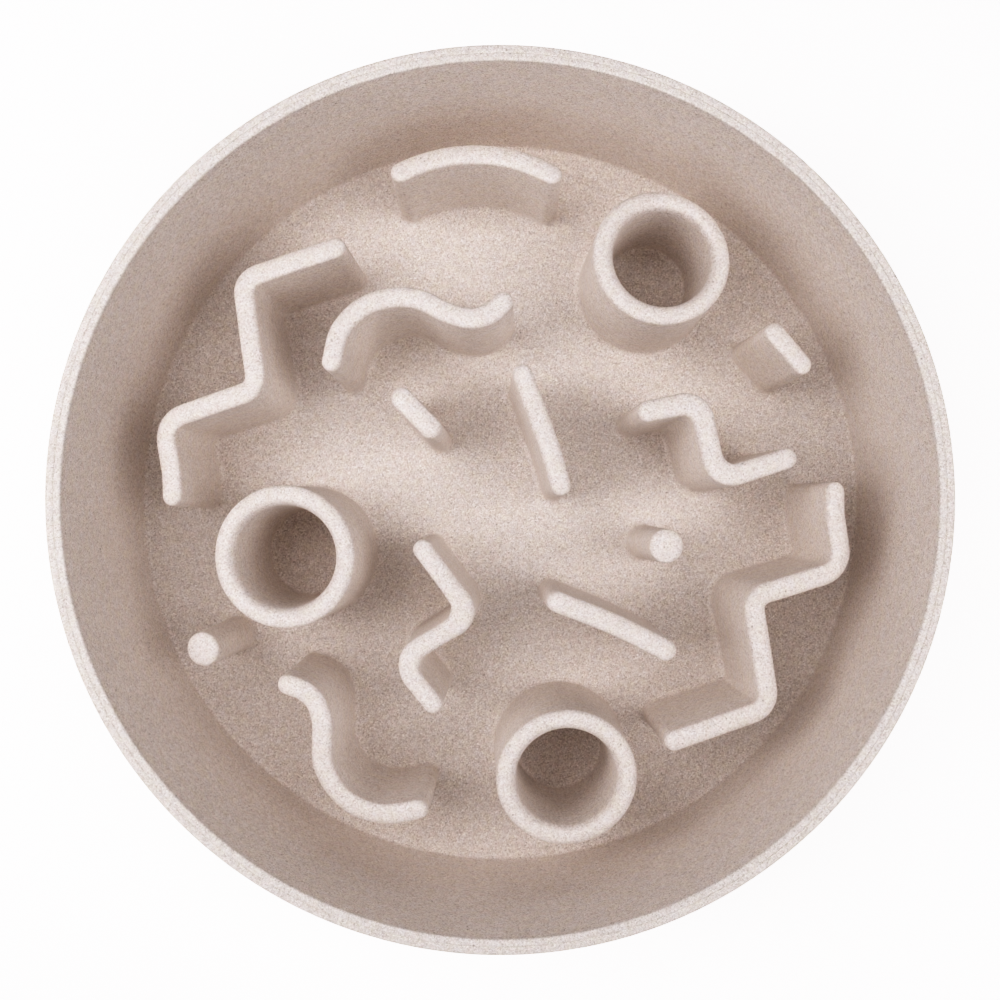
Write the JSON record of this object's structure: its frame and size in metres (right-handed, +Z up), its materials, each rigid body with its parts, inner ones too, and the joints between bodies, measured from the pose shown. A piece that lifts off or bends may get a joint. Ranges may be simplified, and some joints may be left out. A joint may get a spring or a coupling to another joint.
{
  "type": "slow feeder bowl",
  "caption": "Round slow feeder bowl with a low straight wall, a floor maze of upright ridges, open tubes and pegs, and a rubber ring under its foot.",
  "frame": {"origin": "centre of the rubber ring's resting face, on the surface the bowl stands on", "axes": "+Z up out of the bowl, +X to the right and +Y away from the lower edge of the reference picture, which looks straight down"},
  "size_m": [0.251, 0.251, 0.06],
  "materials": {
    "moulding": "matt, finely speckled",
    "rubber": "matt"
  },
  "bodies": {
    "root": {"bowl_base": "moulding", "bowl_wall": "moulding", "base_ring": "rubber", "top_arc_ridge": "moulding", "left_zigzag_ridge": "moulding", "upper_wave_ridge": "moulding", "left_short_bar": "moulding", "centre_bar": "moulding", "upper_tube": "moulding", "right_short_bar": "moulding", "right_squiggle_ridge": "moulding", "right_peg": "moulding", "right_zigzag_ridge": "moulding", "left_tube": "moulding", "left_peg": "moulding", "centre_squiggle_ridge": "moulding", "diagonal_bar": "moulding", "lower_wave_ridge": "moulding", "lower_tube": "moulding"}
  },
  "joints": []
}
